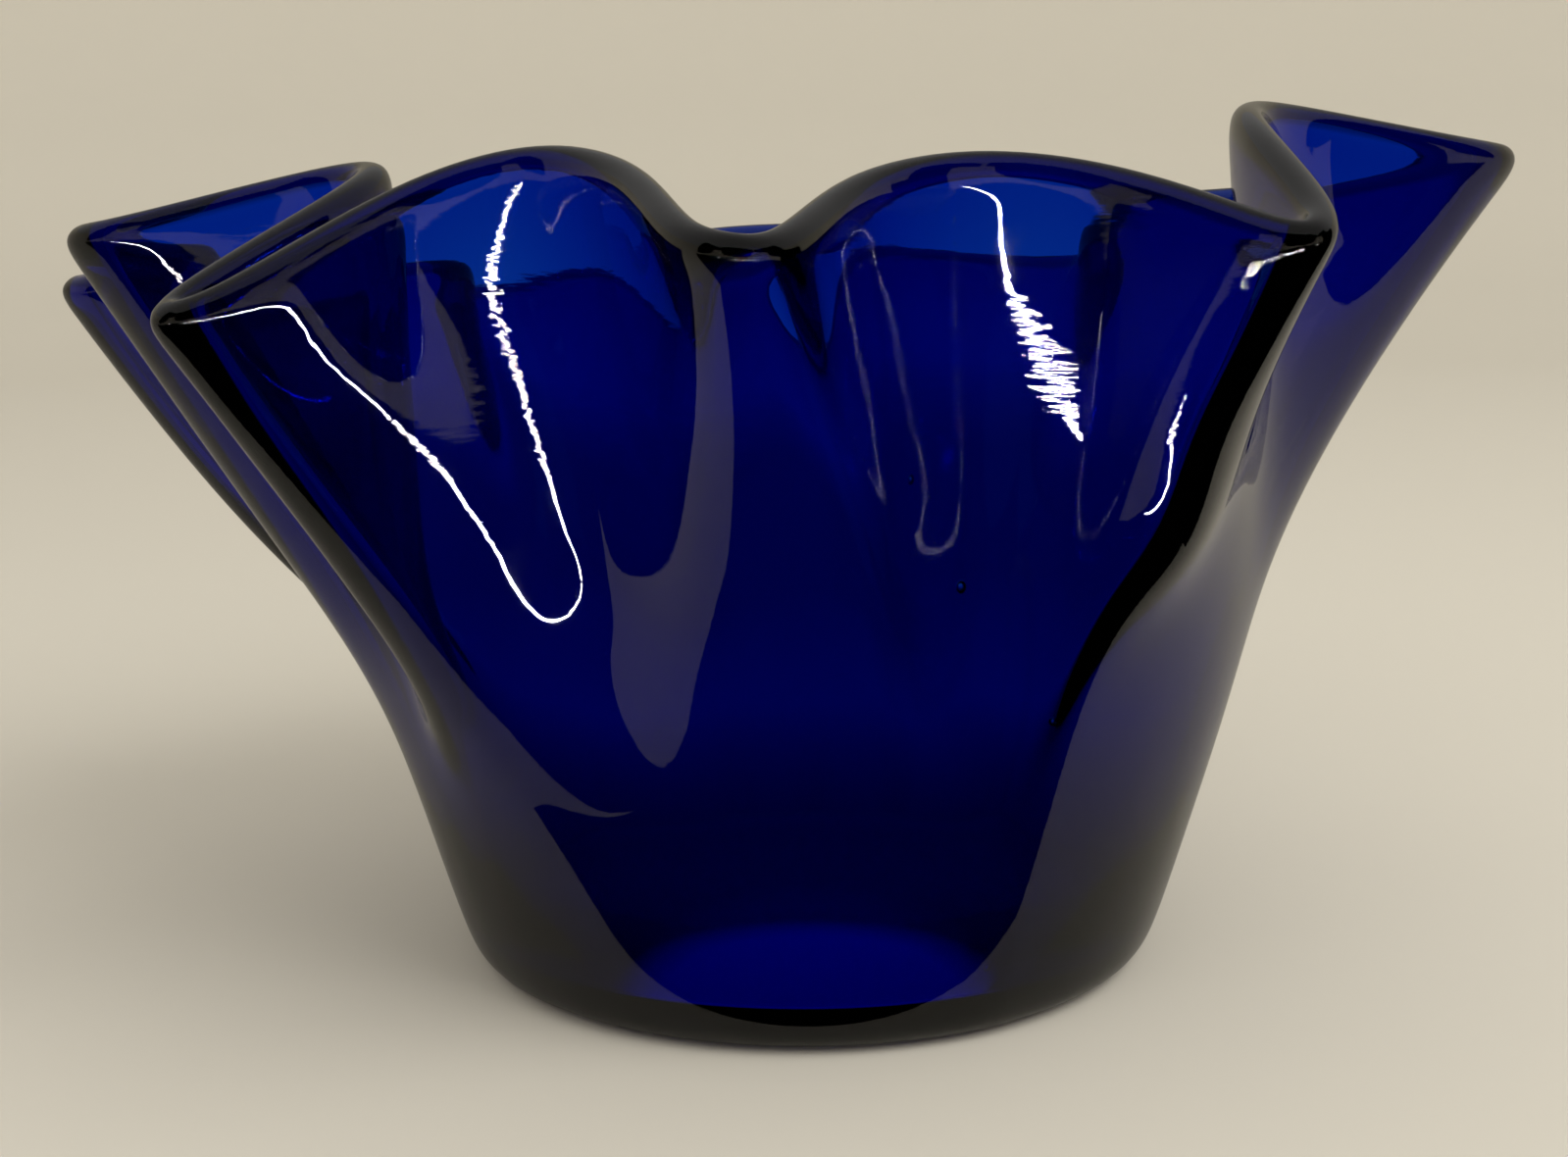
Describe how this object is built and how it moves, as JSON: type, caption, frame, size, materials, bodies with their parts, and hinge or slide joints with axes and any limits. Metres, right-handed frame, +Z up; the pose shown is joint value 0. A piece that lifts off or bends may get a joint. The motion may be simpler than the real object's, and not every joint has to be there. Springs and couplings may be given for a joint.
{
  "type": "ruffled glass vase",
  "caption": "Hand-blown cobalt blue glass vase: a round bowl on a flat foot, its wall flaring to a thick, rounded rim pulled into deep uneven ruffles.",
  "frame": {"origin": "middle of the flat foot, on the surface the vase rests on", "axes": "+Z up through the open mouth; -Y towards the side with the broad low ruffle between two high folds; +X towards the side whose rim is highest"},
  "size_m": [0.2342, 0.2, 0.132],
  "materials": {
    "cobalt_glass": "transparent cobalt blue glass, fire-polished and glossy, faint chill marks near the rim"
  },
  "bodies": {
    "root": {"ruffled_glass_vase": "cobalt_glass"}
  },
  "joints": []
}
